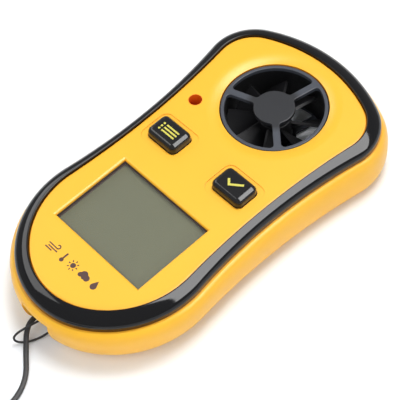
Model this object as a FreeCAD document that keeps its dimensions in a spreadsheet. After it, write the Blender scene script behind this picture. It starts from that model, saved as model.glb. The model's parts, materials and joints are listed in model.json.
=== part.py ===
"""Handheld weather meter: a pocket anemometer with a ducted impeller, LCD and two keys.

Millimetres. The meter lies on its back: +Y runs from the lanyard end to the impeller end,
+X is the reader's right and +Z comes out of the face. The origin is under the middle of the
case, in the plane of its back.
"""
import FreeCAD
import Part
import math
import os
import re
import Sketcher
from FreeCAD import Placement, Rotation, Vector

SIZES = {
    # outline of the yellow face plate: top arc, head corners, waist, bulb, bottom arc
    "face_top": 48.85, "face_top_arc": 42.25, "face_corner_arc": 10.4, "face_corner_x": 13.84,
    "face_waist_arc": 230, "face_bulb_arc": 25, "face_bulb_x": -2.4, "face_bottom_arc": 20.8,
    "face_bottom": -48.85,
    # outline of the trim ring, which the rear cover's wall swells out from
    "shell_top": 53, "shell_top_arc": 44, "shell_corner_arc": 13.6, "shell_corner_x": 14.2,
    "shell_waist_arc": 160, "shell_bulb_arc": 28, "shell_bulb_x": -2, "shell_bottom_arc": 24.2,
    "shell_bottom": -53,
    # how far the rear cover's wall stands out from the trim ring, from the ground up to the
    # seam: first at the head, then at the lanyard end
    "foot_high": -0.6, "foot_low": -2.6, "heel_height": 1.5, "heel_high": 0.9, "heel_low": -0.6,
    "flank_height": 4, "flank_high": 1.8, "flank_low": 1, "belly_height": 8.5, "belly_high": 2,
    "belly_low": 2, "shoulder_height": 12.2, "shoulder_high": 1.5, "shoulder_low": 1.8,
    "seam_high": 0.4, "seam_low": 0.6,
    # how much flatter the waist of the wall is than that of the trim ring
    "foot_fill": 40, "heel_fill": 45, "flank_fill": 45, "belly_fill": 30, "shoulder_fill": 10,
    "seam_fill": 0,
    # heights above the back and wall thicknesses
    "back_wall": 1.8, "side_wall": 1.8, "seam_height": 14, "face_height": 17.4,
    "face_wall": 2, "face_round": 0.5, "crest_height": 18.2, "trim_round": 2.85,
    "trim_inner_round": 0.4, "trim_gap": 0.05, "skirt_wall": 1.4, "lip_reach": 0.7,
    "lip_drop": 2, "part_gap": 0.05,
    # wind duct
    "duct_y": 29.69, "duct_radius": 14.4, "duct_wall": 1, "duct_gap": 0.3, "duct_flange": 1.2,
    "duct_flange_height": 1.2, "guard_height": 1.2, "guard_recess": 0.9, "guard_hub": 5.6,
    "spoke_width": 2, "spoke_angle": 78.5, "spoke_step": 120, "spoke_fillet": 1,
    "guard_round": 0.25, "dish_radius": 18.2, "dish_depth": 0.8,
    "rear_guard_base": 0.7, "boss_radius": 2.4, "bearing_radius": 1.5, "bearing_length": 1.2,
    "rear_cup_height": 2.3, "cup_wall": 1, "front_boss": 1.8, "way_width": 1.4,
    "way_depth": 0.8, "pickup_length": 1.5, "pickup_width": 2.6, "pickup_height": 1,
    "pickup_gap": 0.2, "ribbon_width": 1, "ribbon_thick": 0.5, "ribbon_gap": 0.6,
    "ribbon_tail": 4,
    # impeller
    "shaft_radius": 0.5, "shaft_gap": 0.05, "shaft_base": 3.2, "shaft_top": 14.4,
    "rotor_base": 4.9, "rotor_height": 8, "rotor_hub": 4.6, "rotor_round": 0.4,
    "blade_tip": 12.9, "blade_count": 8,
    "blade_lap": 0.6, "blade_over": 0.9, "trim_over": 5, "blade_thick": 0.8,
    "blade_root_angle": 28, "blade_tip_angle": 52, "blade_root_chord": 7.6,
    "blade_tip_chord": 9.4, "magnet_inner": 1.6, "magnet_outer": 3.8, "magnet_height": 1.6,
    # display
    "window_width": 31.5, "window_length": 23.5, "window_y": -21.36, "window_round": 0.75,
    "lens_margin": 1, "lens_height": 1.1, "gasket_height": 0.5, "gasket_frame": 1.2,
    "glass_width": 36, "glass_length": 28.6, "glass_height": 2.2, "backlight_width": 30,
    "backlight_length": 23, "strip_width": 32, "strip_length": 1.8, "strip_spread": 13,
    # keys
    "mode_x": -12.5, "set_x": 11.9, "key_y": 3.4, "key_width": 10.4, "key_length": 7.3,
    "key_corner": 1.55, "key_rise": 2.6, "key_round": 1.45, "key_gap": 0.15, "key_flange": 1,
    "key_flange_height": 0.9,
    "key_travel": 0.6, "key_play": 0.3, "key_dish": 1.7, "key_dish_depth": 0.2,
    "switch_side": 6, "switch_height": 3.4, "switch_bore_base": 1, "plunger_radius": 1.75,
    "plunger_gap": 0.1,
    # board and temperature sensor
    "board_base": 8, "board_height": 1, "board_inset": 2.6, "board_top_y": 20,
    "board_bottom_y": -38, "board_over": 40, "board_duct_gap": 17, "board_screw_x": 16.3,
    "board_screw_y": -4.5, "board_post": 2,
    "probe_x": -16.6, "probe_y": 16.5, "probe_radius": 1.8, "probe_wall": 0.9, "probe_base": 9.6,
    "bead_radius": 1, "bead_half": 1.4, "lead_radius": 0.2, "lead_spread": 0.5,
    "chip_x": 0, "chip_y": 4.5, "chip_radius": 3.4, "chip_height": 1, "crystal_radius": 1,
    "crystal_length": 6, "crystal_y": 9.6,
    # battery
    "cell_y": -21, "cell_radius": 10, "cell_height": 3.2, "cell_step": 0.48, "cell_rim": 1.2,
    "cell_base": 3, "holder_radius": 12.8,
    "holder_gap": 0.2, "holder_base": 3.3, "door_radius": 13.6, "door_gap": 0.2,
    "door_flange": 0.9, "door_plug": 11.5, "door_plug_top": 2.9, "door_lug_reach": 1.2,
    "door_lug_base": 1.9, "door_lug_height": 0.8, "door_lug_arc": 30, "door_way_play": 3,
    "door_turn": 45,
    "coin_slot_length": 17, "coin_slot_width": 2.2, "coin_slot_depth": 1.1, "contact_thick": 0.25,
    "contact_width": 3, "contact_gap": 0.05, "contact_lift": 0.4, "leaf_reach": 4.5,
    # case screws: two in the head, two beside the lanyard notch
    "screw_high_x": 18.6, "screw_high_y": 39.6, "screw_low_x": 9, "screw_low_y": -41.5,
    "boss_outer": 2.6, "boss_split": 7, "screw_radius": 1, "screw_head": 2.1,
    "screw_head_height": 1.5, "screw_recess": 0.7, "screw_tip": 12, "small_screw_radius": 0.75,
    "small_screw_head": 1.5, "small_head_height": 1, "driver_slot": 0.5, "small_screw_tip": 13,
    "bore_gap": 0.1,
    # lanyard
    "notch_width": 10, "notch_back_y": -46.6, "notch_height": 12, "notch_wall": 1.6,
    "notch_roof": 1.4,
    "pin_y": -49.8, "pin_height": 4.6, "pin_radius": 0.9, "eye_x": -3.2, "cord_radius": 0.7,
    "loop_radius": 0.3, "coil_x": 19.6, "coil_y": -80.6, "coil_mid": 8.4, "coil_half": 2.1,
    "coil_height": 2.8, "ferrule_radius": 1.1, "ferrule_length": 6, "knot_radius": 0.8,
    "knot_x": 0.4, "knot_y": -47.75, "knot_height": 4.9,
}

# centre line of the main cord, from the eye on the pin down to the coil on the ground
CORD_ROUTE = [(-3.2, -51.4, 4.9), (-3.4, -54.3, 5.1), (-2.4, -57.0, 3.7), (-0.5, -59.1, 1.9),
              (1.9, -61.3, 0.85), (4.9, -63.6, 0.7), (7.3, -66.6, 0.7), (8.8, -70.6, 0.7),
              (9.3, -75.6, 0.7), (9.75, -81.4, 0.7)]
# the thin loop leaves its knot behind the pin, passes over the pin and the main cord and comes
# back under both of them
LOOP_ROUTE = [(0.4, -47.9, 5.6), (-0.4, -49.6, 6.1), (-0.7, -52.7, 6.5), (-1.6, -56.2, 6.4),
              (-3.0, -59.4, 5.1), (-3.8, -60.6, 2.5), (-2.9, -59.8, 0.6), (-0.9, -57.1, 0.5),
              (0.8, -53.8, 1.6), (1.6, -50.4, 3.1), (1.1, -48.4, 3.4), (0.4, -47.9, 4.2)]

doc = FreeCAD.newDocument("weather_meter")
sheet = doc.addObject("Spreadsheet::Sheet", "Sizes")
for row, (alias, number) in enumerate(SIZES.items(), start=1):
    sheet.set(f"A{row}", alias)
    sheet.set(f"B{row}", str(number))
    sheet.setAlias(f"B{row}", alias)
doc.recompute()
nodes = []


def formula(text):
    """Write a sum of size names as an expression on the sheet."""
    return re.sub(r"[a-z][a-z_]*", lambda word: "Sizes." + word.group(0), text)


def value(text):
    """Work out a sum of size names as a number."""
    return float(sheet.evalExpression(formula(text)))


def bind(thing, **sizes):
    """Set properties from sums of size names; a double underscore stands for a dot."""
    for name, text in sizes.items():
        thing.setExpression(name.replace("__", "."), formula(text))


def node(thing, label):
    """Name a finished sub-part and keep it for export."""
    thing.Label = label
    nodes.append(thing)
    return thing


# ---- sketches ----------------------------------------------------------------------------

def new_body(name):
    return doc.addObject("PartDesign::Body", name + "_body")


def new_sketch(body, height="0", role="XY_Plane"):
    """A sketch on one of the body's own planes, raised by a height."""
    sketch = body.newObject("Sketcher::SketchObject", "sketch")
    plane = next(item for item in body.Origin.OriginFeatures if item.Role == role)
    sketch.AttachmentSupport = (plane, "")
    sketch.MapMode = "FlatFace"
    bind(sketch, AttachmentOffset__Base__z=height)
    return sketch


def measure(sketch, kind, numbers, text):
    """Add a dimension whose value follows the sheet."""
    index = sketch.addConstraint(Sketcher.Constraint(kind, *numbers, value(text)))
    sketch.setExpression(f"Constraints[{index}]", formula(text))


def hold(sketch, piece, point, across, along):
    """Fix a point of a sketch piece at a place measured from the origin."""
    for kind, axis, text in (("DistanceX", -2, across), ("DistanceY", -1, along)):
        if abs(value(text)) < 1e-9:
            sketch.addConstraint(Sketcher.Constraint("PointOnObject", piece, point, axis))
        else:
            measure(sketch, kind, (-1, 1, piece, point), text)


def circle(sketch, across, along, radius):
    centre = Vector(value(across), value(along), 0)
    piece = sketch.addGeometry(Part.Circle(centre, Vector(0, 0, 1), value(radius)))
    measure(sketch, "Radius", (piece,), radius)
    hold(sketch, piece, 3, across, along)


def rectangle(sketch, across, along, width, length):
    """A rectangle held by its lower left corner."""
    left, low = value(f"{across} - ({width}) / 2"), value(f"{along} - ({length}) / 2")
    right, high = left + value(width), low + value(length)
    corners = [Vector(left, low, 0), Vector(right, low, 0), Vector(right, high, 0),
               Vector(left, high, 0)]
    first = sketch.GeometryCount
    for start, end in zip(corners, corners[1:] + corners[:1]):
        sketch.addGeometry(Part.LineSegment(start, end))
    for side in range(4):
        after = first + (side + 1) % 4
        sketch.addConstraint(Sketcher.Constraint("Coincident", first + side, 2, after, 1))
        direction = "Vertical" if side % 2 else "Horizontal"
        sketch.addConstraint(Sketcher.Constraint(direction, first + side))
    measure(sketch, "DistanceX", (first, 1, first, 2), width)
    measure(sketch, "DistanceY", (first + 1, 1, first + 1, 2), length)
    hold(sketch, first, 1, f"{across} - ({width}) / 2", f"{along} - ({length}) / 2")


def outline_arcs(shape, high, low, fill):
    """Radii of an outline whose head has grown by one offset and lanyard end by another."""
    growth = {"top_arc": high, "corner_arc": high, "waist_arc": f"{fill} - ({high} + {low}) / 2",
              "bulb_arc": low, "bottom_arc": low}
    return [f"{shape}_{name} + ({more})" for name, more in growth.items()]


def outline_circles(shape, high, low, fill="0"):
    """Centres and radii of the right side's arcs, from the top arc round to the bottom arc."""
    top_arc, corner, waist, bulb, bottom_arc = map(value,
                                                  outline_arcs(shape, high, low, fill))
    top_centre = Vector(0, value(f"{shape}_top - {shape}_top_arc"), 0)
    bottom_centre = Vector(0, value(f"{shape}_bottom + {shape}_bottom_arc"), 0)
    corner_x, bulb_x = value(f"{shape}_corner_x"), value(f"{shape}_bulb_x")
    corner_rise = math.sqrt((top_arc - corner) ** 2 - corner_x ** 2)
    bulb_rise = math.sqrt((bulb - bottom_arc) ** 2 - bulb_x ** 2)
    corner_centre = Vector(corner_x, top_centre.y + corner_rise, 0)
    bulb_centre = Vector(bulb_x, bottom_centre.y + bulb_rise, 0)
    between = corner_centre - bulb_centre
    far, near, gap = waist + bulb, waist + corner, between.Length
    along = (far ** 2 - near ** 2 + gap ** 2) / (2 * gap)
    aside = Vector(between.y, -between.x, 0).normalize() * math.sqrt(far ** 2 - along ** 2)
    waist_centre = bulb_centre + between.normalize() * along + aside
    return [(top_centre, top_arc), (corner_centre, corner), (waist_centre, waist),
            (bulb_centre, bulb), (bottom_centre, bottom_arc)]


def outline_joints(circles):
    """The points where each arc of the right side runs into the next."""
    joints = []
    for (centre, radius), (other, other_radius) in zip(circles, circles[1:]):
        outside = (other - centre).Length > max(radius, other_radius)
        reach = (other - centre).normalize() * radius
        joints.append(centre + (reach if outside or radius > other_radius else reach * -1))
    return joints


def outline(sketch, shape, high="0", low=None, fill="0"):
    """Eight tangent arcs, mirrored about the Y axis, set off from the named outline."""
    low = low or high
    circles = outline_circles(shape, high, low, fill)
    joints = outline_joints(circles)
    first = sketch.GeometryCount
    mirror = [Vector(-point.x, point.y, 0) for point in joints]
    ends = [(mirror[0], joints[0])] + list(zip(joints, joints[1:])) + [(joints[3], mirror[3])]
    ends += list(zip(mirror[3:0:-1], mirror[2::-1]))
    order = [0, 1, 2, 3, 4, 3, 2, 1]
    pieces = []
    for place, (circle_index, (start, end)) in enumerate(zip(order, ends)):
        centre, radius = circles[circle_index]
        if place > 4:
            centre = Vector(-centre.x, centre.y, 0)
        middle = (start + end) * 0.5 - centre
        through = centre + middle.normalize() * radius
        pieces.append(sketch.addGeometry(Part.Arc(start, through, end)))
    radii = outline_arcs(shape, high, low, fill)
    for place, piece in enumerate(pieces):
        measure(sketch, "Radius", (piece,), radii[order[place]])
    for place, piece in enumerate(pieces):
        after = pieces[(place + 1) % 8]
        here, there = open_end(sketch, piece, after)
        sketch.addConstraint(Sketcher.Constraint("Tangent", piece, here, after, there))
    for piece, height in ((first, f"{shape}_top - {shape}_top_arc"),
                          (first + 4, f"{shape}_bottom + {shape}_bottom_arc")):
        hold(sketch, piece, 3, "0", height)
    for place, text in ((1, "corner_x"), (3, "bulb_x")):
        measure(sketch, "DistanceX", (-1, 1, first + place, 3), f"{shape}_{text}")
        measure(sketch, "DistanceX", (-1, 1, first + 8 - place, 3), f"0 - {shape}_{text}")


def open_end(sketch, piece, after):
    """Which ends of two neighbouring arcs meet."""
    pairs = [(here, there) for here in (1, 2) for there in (1, 2)]
    return min(pairs, key=lambda pair: (sketch.getPoint(piece, pair[0])
                                        - sketch.getPoint(after, pair[1])).Length)


# ---- features ----------------------------------------------------------------------------

def pad(body, sketch, length):
    feature = body.newObject("PartDesign::Pad", "pad")
    feature.Profile = sketch
    bind(feature, Length=length)
    doc.recompute()
    return feature


def loft(body, sketches):
    """A smooth skin through sketches stacked upwards."""
    feature = body.newObject("PartDesign::AdditiveLoft", "loft")
    feature.Profile = sketches[0]
    feature.Sections = sketches[1:]
    doc.recompute()
    return feature


def pocket(body, sketch, length):
    """Cut upwards from the sketch, and make sure that something was cut."""
    before = body.Shape.Volume
    feature = body.newObject("PartDesign::Pocket", "pocket")
    feature.Profile = sketch
    feature.Reversed = True
    bind(feature, Length=length)
    doc.recompute()
    if body.Shape.Volume > before - 1e-3:
        raise RuntimeError(f"a pocket of {body.Name} cuts nothing")
    return feature


def turn_away(body, sketch):
    """Cut a full turn about the sketch's own vertical axis."""
    feature = body.newObject("PartDesign::Groove", "turned")
    feature.Profile = sketch
    feature.ReferenceAxis = (sketch, ["V_Axis"])
    feature.Angle = 360
    doc.recompute()
    return feature


def round_edges(body, pick, radius, kind="PartDesign::Fillet"):
    """Fillet or chamfer the tip's edges that pick() accepts."""
    base = body.Tip
    names = [f"Edge{index}" for index, edge in enumerate(base.Shape.Edges, start=1) if pick(edge)]
    if not names:
        raise RuntimeError(f"no edge to round on {body.Name}")
    feature = body.newObject(kind, "round")
    feature.Base = (base, names)
    bind(feature, **{"Size" if kind.endswith("Chamfer") else "Radius": radius})
    doc.recompute()
    return feature


def polar(body, feature, count):
    pattern = body.newObject("PartDesign::PolarPattern", "ring")
    pattern.Originals = [feature]
    pattern.Axis = (feature.Profile[0], ["N_Axis"])
    pattern.Angle = 360
    pattern.Occurrences = count
    body.Tip = pattern
    doc.recompute()
    return pattern


def level_at(height):
    """Edges that lie in one horizontal plane."""
    return lambda edge: (abs(edge.BoundBox.ZMin - height) < 1e-4
                         and abs(edge.BoundBox.ZMax - height) < 1e-4)


def upright_within(low, high):
    """Vertical edges between two distances from the body's own Z axis."""
    def pick(edge):
        box = edge.BoundBox
        away = math.hypot(box.Center.x, box.Center.y)
        return box.ZLength > 0.5 and box.XLength + box.YLength < 1e-4 and low < away < high
    return pick


# ---- solids of the Part workbench ----------------------------------------------------------

def place(solid, across="0", along="0", height="0"):
    bind(solid, Placement__Base__x=across, Placement__Base__y=along, Placement__Base__z=height)
    return solid


def cylinder(radius, length, across="0", along="0", height="0"):
    solid = doc.addObject("Part::Cylinder", "cylinder")
    bind(solid, Radius=radius, Height=length)
    return place(solid, across, along, height)


def block(width, length, height, across="0", along="0", base="0"):
    """A box centred on a place in X and Y, standing on a height."""
    solid = doc.addObject("Part::Box", "block")
    bind(solid, Length=width, Width=length, Height=height)
    return place(solid, f"{across} - ({width}) / 2", f"{along} - ({length}) / 2", base)


def cut(base, *tools):
    for tool in tools:
        result = doc.addObject("Part::Cut", "cut")
        result.Base, result.Tool = base, tool
        base = result
    doc.recompute()
    return base


def fuse(*solids):
    result = doc.addObject("Part::MultiFuse", "fuse")
    result.Shapes = list(solids)
    doc.recompute()
    return result


def group(*solids):
    """Separate solids that share one node."""
    result = doc.addObject("Part::Compound", "group")
    result.Links = list(solids)
    doc.recompute()
    return result


def tube(outer, inner, length, across="0", along="0", height="0"):
    return cut(cylinder(outer, length, across, along, height),
               cylinder(inner, length, across, along, height))


def sector(radius, length, arc, turn, height):
    """A slice of a cylinder about the battery's axis, starting at a given angle."""
    solid = doc.addObject("Part::Cylinder", "sector")
    bind(solid, Radius=radius, Height=length, Angle=arc)
    solid.Placement.Rotation = Rotation(Vector(0, 0, 1), turn)
    return place(solid, "0", "cell_y", height)


def mirrored_x(names):
    """The same place on the right and on the left of the case."""
    across, along = names
    return [(across, along), (f"0 - {across}", along)]


SCREWS = mirrored_x(("screw_high_x", "screw_high_y")) + mirrored_x(("screw_low_x", "screw_low_y"))
BOARD_SCREWS = mirrored_x(("board_screw_x", "board_screw_y"))
THIRDS = (0, 120, 240)
KEYS = {"mode": "mode_x", "set": "set_x"}


# ---- case ----------------------------------------------------------------------------------

def rear_cover():
    """Tray with a swelling wall, the duct and battery openings and the lanyard notch.

    Three ways through the door seat let the bayonet lugs in when the door is unlocked.
    """
    body = new_body("rear_cover")
    levels = []
    for name in ("foot", "heel", "flank", "belly", "shoulder", "seam"):
        level = new_sketch(body, "0" if name == "foot" else f"{name}_height")
        outline(level, "shell", f"{name}_high", f"{name}_low", f"{name}_fill")
        levels.append(level)
    loft(body, levels)
    low = new_sketch(body, "back_wall")
    outline(low, "shell", "heel_high - side_wall", "heel_low - side_wall")
    pocket(body, low, "flank_height - back_wall")
    high = new_sketch(body, "flank_height")
    outline(high, "shell", "0 - side_wall")
    pocket(body, high, "seam_height - flank_height")
    add_rear_bosses(body)
    cut_lanyard_notch(body)
    wind = new_sketch(body)
    circle(wind, "0", "duct_y", "duct_radius + duct_gap")
    pocket(body, wind, "back_wall")
    cut_door_seat(body)
    cut_screw_seats(body)
    round_edges(body, rim_of_wind_opening, "guard_recess / 2", "PartDesign::Chamfer")
    ways = [sector("door_plug + door_lug_reach + door_gap", "back_wall - door_flange / 2",
                   "door_lug_arc + 2 * door_way_play",
                   value("door_turn - door_way_play") + turn, "door_flange / 2")
            for turn in THIRDS]
    return node(cut(body, *ways), "rear_cover")


def rim_of_wind_opening(edge):
    """The circle where the wind duct opens through the back."""
    radius = value("duct_radius + duct_gap")
    return (level_at(0)(edge) and hasattr(edge.Curve, "Radius")
            and abs(edge.Curve.Radius - radius) < 1e-4)


def add_rear_bosses(body):
    bosses = new_sketch(body, "back_wall / 2")
    for across, along in SCREWS:
        circle(bosses, across, along, "boss_outer")
    pad(body, bosses, "boss_split - back_wall / 2 - bore_gap")


def cut_lanyard_notch(body):
    """A walled notch in the bottom end, open downwards and outwards, with holes for its pin."""
    walls = new_sketch(body, "back_wall / 2")
    depth = "(notch_back_y + notch_wall - pin_y + pin_radius)"
    middle = f"notch_back_y + notch_wall - {depth} / 2"
    rectangle(walls, "0", middle, "notch_width + 2 * notch_wall", depth)
    pad(body, walls, "notch_height + notch_roof - back_wall / 2")
    opening = new_sketch(body)
    reach = "notch_back_y - shell_bottom + 2 * belly_low"
    rectangle(opening, "0", f"notch_back_y - ({reach}) / 2", "notch_width", reach)
    pocket(body, opening, "notch_height")
    holes = new_sketch(body, "0 - notch_width / 2 - notch_wall / 2", "YZ_Plane")
    circle(holes, "pin_y", "pin_height", "pin_radius + part_gap / 2")
    pocket(body, holes, "notch_width + notch_wall")


def cut_door_seat(body):
    """A stepped round seat for the battery door."""
    seat = new_sketch(body)
    circle(seat, "0", "cell_y", "door_radius + door_gap")
    pocket(body, seat, "door_flange")
    opening = new_sketch(body)
    circle(opening, "0", "cell_y", "door_plug + door_gap")
    pocket(body, opening, "back_wall")


def cut_screw_seats(body):
    heads = new_sketch(body)
    shanks = new_sketch(body)
    for across, along in SCREWS:
        circle(heads, across, along, "screw_head + door_gap")
        circle(shanks, across, along, "screw_radius + bore_gap")
    pocket(body, heads, "screw_recess + screw_head_height")
    pocket(body, shanks, "boss_split")


def front_cover():
    """Face plate with a skirt inside the trim ring and a lip inside the rear cover."""
    body = new_body("front_cover")
    plate = new_sketch(body, "seam_height")
    outline(plate, "face")
    pad(body, plate, "face_height - seam_height")
    round_edges(body, level_at(value("face_height")), "face_round")
    lip = new_sketch(body, "seam_height - lip_drop")
    outline(lip, "face", "lip_reach")
    pad(body, lip, "lip_drop")
    clear = new_sketch(body, "seam_height - lip_drop")
    depth = "(face_height - notch_height + notch_wall)"
    rectangle(clear, "0", f"notch_back_y + notch_wall + part_gap - {depth} / 2",
              "notch_width + 2 * notch_wall + 2 * part_gap", depth)
    pocket(body, clear, "lip_drop")
    hollow = new_sketch(body, "seam_height - lip_drop")
    outline(hollow, "face", "0 - skirt_wall")
    pocket(body, hollow, "face_height - face_wall - seam_height + lip_drop")
    add_front_bosses(body)
    cut_window(body)
    cut_key_openings(body)
    cut_wind_opening(body)
    holes = new_sketch(body, "probe_base")
    circle(holes, "probe_x", "probe_y", "probe_radius")
    pocket(body, holes, "face_height")
    pilots = new_sketch(body, "boss_split")
    for across, along in SCREWS:
        circle(pilots, across, along, "screw_radius + part_gap")
    pocket(body, pilots, "screw_tip + 0.5 - boss_split")
    pilots = new_sketch(body, "boss_split")
    for across, along in BOARD_SCREWS:
        circle(pilots, across, along, "small_screw_radius + part_gap")
    pocket(body, pilots, "small_screw_tip + 0.5 - boss_split")
    return node(body, "front_cover")


def add_front_bosses(body):
    underside = "face_height - face_wall / 2"
    bosses = new_sketch(body, "boss_split")
    for across, along in SCREWS:
        circle(bosses, across, along, "boss_outer")
    pad(body, bosses, f"{underside} - boss_split")
    posts = new_sketch(body, "board_base + board_height")
    for across, along in BOARD_SCREWS:
        circle(posts, across, along, "board_post")
    pad(body, posts, f"{underside} - board_base - board_height")
    sleeve = new_sketch(body, "probe_base")
    circle(sleeve, "probe_x", "probe_y", "probe_radius + probe_wall")
    pad(body, sleeve, f"{underside} - probe_base")


def cut_window(body):
    """Display window with a rounded edge and a rebate for its lens underneath."""
    rebate = new_sketch(body, "face_height - face_wall")
    margin = "2 * (lens_margin + part_gap)"
    rectangle(rebate, "0", "window_y", f"window_width + {margin}", f"window_length + {margin}")
    pocket(body, rebate, "lens_height")
    window = new_sketch(body, "face_height - face_wall")
    rectangle(window, "0", "window_y", "window_width", "window_length")
    pocket(body, window, "face_wall")
    half_width, half_length = value("window_width / 2"), value("window_length / 2")
    centre_y, top = value("window_y"), value("face_height")

    def on_window(edge):
        box = edge.BoundBox
        inside = abs(box.Center.x) < half_width + 0.01
        inside = inside and abs(box.Center.y - centre_y) < half_length + 0.01
        return level_at(top)(edge) and inside
    round_edges(body, on_window, "window_round")


def cut_key_openings(body):
    """Rounded openings for the two keys, each in a shallow rounded dish."""
    for across in KEYS.values():
        for widen, base in (("2 * key_dish", "face_height - key_dish_depth"),
                            ("2 * key_gap", "face_height - face_wall")):
            opening = new_sketch(body, base)
            rectangle(opening, across, "key_y", f"key_width + {widen}", f"key_length + {widen}")
            pocket(body, opening, f"face_height - ({base})")
            side_x = value(f"(key_width + {widen}) / 2")
            side_y = value(f"(key_length + {widen}) / 2")
            middle = Vector(value(across), value("key_y"), 0)

            def corner(edge, side_x=side_x, side_y=side_y, middle=middle):
                box = edge.BoundBox
                thin = box.XLength + box.YLength < 1e-4 and box.ZLength > 0.1
                return (thin and abs(abs(box.Center.x - middle.x) - side_x) < 1e-3
                        and abs(abs(box.Center.y - middle.y) - side_y) < 1e-3)
            round_edges(body, corner, f"key_corner + ({widen}) / 4")


def cut_wind_opening(body):
    """Round opening for the duct, with a turned bell mouth running down into it."""
    opening = new_sketch(body, "face_height - face_wall")
    circle(opening, "0", "duct_y", "duct_radius + duct_gap")
    pocket(body, opening, "face_wall")
    rim, outer = value("duct_radius + duct_gap"), value("dish_radius")
    top, low = value("face_height"), value("face_height - dish_depth")
    run, drop = "(dish_radius - duct_radius - duct_gap)", "dish_depth"
    bend = f"({run} * {run} + {drop} * {drop}) / (2 * {drop})"
    dish = new_sketch(body, "duct_y", "XZ_Plane")
    dish.setExpression("AttachmentOffset.Base.z", formula("0 - duct_y"))
    middle_x = (rim + outer) / 2
    middle_y = top - value(bend) + math.sqrt(value(bend) ** 2 - (outer - middle_x) ** 2)
    dish.addGeometry(Part.Arc(Vector(outer, top, 0), Vector(middle_x, middle_y, 0),
                              Vector(rim, low, 0)))
    dish.addGeometry(Part.LineSegment(Vector(rim, low, 0), Vector(rim, top, 0)))
    dish.addGeometry(Part.LineSegment(Vector(rim, top, 0), Vector(outer, top, 0)))
    for side in range(3):
        dish.addConstraint(Sketcher.Constraint("Coincident", side, 2, (side + 1) % 3, 1))
    hold(dish, 0, 1, "dish_radius", "face_height")
    hold(dish, 1, 1, "duct_radius + duct_gap", "face_height - dish_depth")
    hold(dish, 2, 1, "duct_radius + duct_gap", "face_height")
    measure(dish, "Radius", (0,), bend)
    turn_away(body, dish)


def trim_ring():
    """Rounded bead that closes the seam between the two covers."""
    body = new_body("trim_ring")
    outer = new_sketch(body, "seam_height")
    outline(outer, "shell")
    pad(body, outer, "crest_height - seam_height")
    round_edges(body, level_at(value("crest_height")), "trim_round")
    inner = new_sketch(body, "seam_height")
    outline(inner, "face", "trim_gap")
    pocket(body, inner, "crest_height - seam_height")
    reach = value("face_top + trim_gap")

    def on_inner(edge):
        return level_at(value("crest_height"))(edge) and inner_edge(edge, reach)
    round_edges(body, on_inner, "trim_inner_round")
    return node(body, "trim_ring")


def inner_edge(edge, reach):
    """True for an arc of the face outline rather than of the case outline."""
    radii = [radius for _, radius in outline_circles("face", "trim_gap", "trim_gap")]
    return edge.BoundBox.YMax < reach + 0.01 and any(
        abs(edge.Curve.Radius - radius) < 1e-3 for radius in radii)


def case_screws():
    screws = []
    for across, along in SCREWS:
        head = cylinder("screw_head", "screw_head_height", across, along, "screw_recess")
        shank = cylinder("screw_radius", "screw_tip - screw_recess - screw_head_height", across,
                         along, "screw_recess + screw_head_height")
        slots = [block(*size, "screw_head_height / 2", across, along, "screw_recess")
                 for size in (("screw_head", "driver_slot"), ("driver_slot", "screw_head"))]
        screws.append(cut(fuse(head, shank), *slots))
    return node(group(*screws), "case_screws")


# ---- wind duct and impeller ----------------------------------------------------------------

def duct_housing():
    """Tube between the two guards, with a flange under the face plate."""
    base, top = "rear_guard_base + guard_height", "face_height - guard_recess - guard_height"
    wall = cylinder("duct_radius", f"{top} - ({base})", "0", "duct_y", base)
    flange = cylinder("duct_radius + duct_flange", "duct_flange_height", "0", "duct_y",
                      "face_height - face_wall - duct_flange_height")
    bore = cylinder("duct_radius - duct_wall", f"{top} - ({base})", "0", "duct_y", base)
    seat = cylinder("duct_radius", "guard_height", "0", "duct_y", top)
    way = ribbon_part("cup_wall * 2", "duct_radius - duct_wall / 2", "way_depth", base,
                      "way_width")
    return node(cut(fuse(wall, flange), bore, seat, way), "duct_housing")


def guard(name, base, hub_parts, turn, outside):
    """Rim, hub and three filleted spokes, made about the body's own axis and then turned.

    The edges of its outside face are rounded.
    """
    body = new_body(name)
    spoke = new_sketch(body)
    rectangle(spoke, "(duct_radius - duct_wall / 2) / 2", "0", "duct_radius - duct_wall / 2",
              "spoke_width")
    polar(body, pad(body, spoke, "guard_height"), 3)
    rim = new_sketch(body)
    circle(rim, "0", "0", "duct_radius")
    circle(rim, "0", "0", "duct_radius - duct_wall")
    pad(body, rim, "guard_height")
    hub = new_sketch(body)
    circle(hub, "0", "0", "guard_hub")
    pad(body, hub, "guard_height")
    inside = value("duct_radius - duct_wall / 2")
    round_edges(body, upright_within(value("guard_hub - 1"), inside), "spoke_fillet")
    round_edges(body, level_at(value(outside)), "guard_round")
    hub_parts(body)
    body.Placement = Placement(Vector(0, value("duct_y"), value(base)),
                               Rotation(Vector(0, 0, 1), value(turn)))
    body.setExpression("Placement.Base.y", formula("duct_y"))
    body.setExpression("Placement.Base.z", formula(base))
    return node(body, name)


def front_hub(body):
    """Boss behind the hub that holds the front bearing."""
    boss = new_sketch(body, "0 - front_boss")
    circle(boss, "0", "0", "boss_radius")
    pad(body, boss, "front_boss")
    seat = new_sketch(body, "0 - front_boss")
    circle(seat, "0", "0", "bearing_radius")
    pocket(body, seat, "bearing_length")


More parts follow.
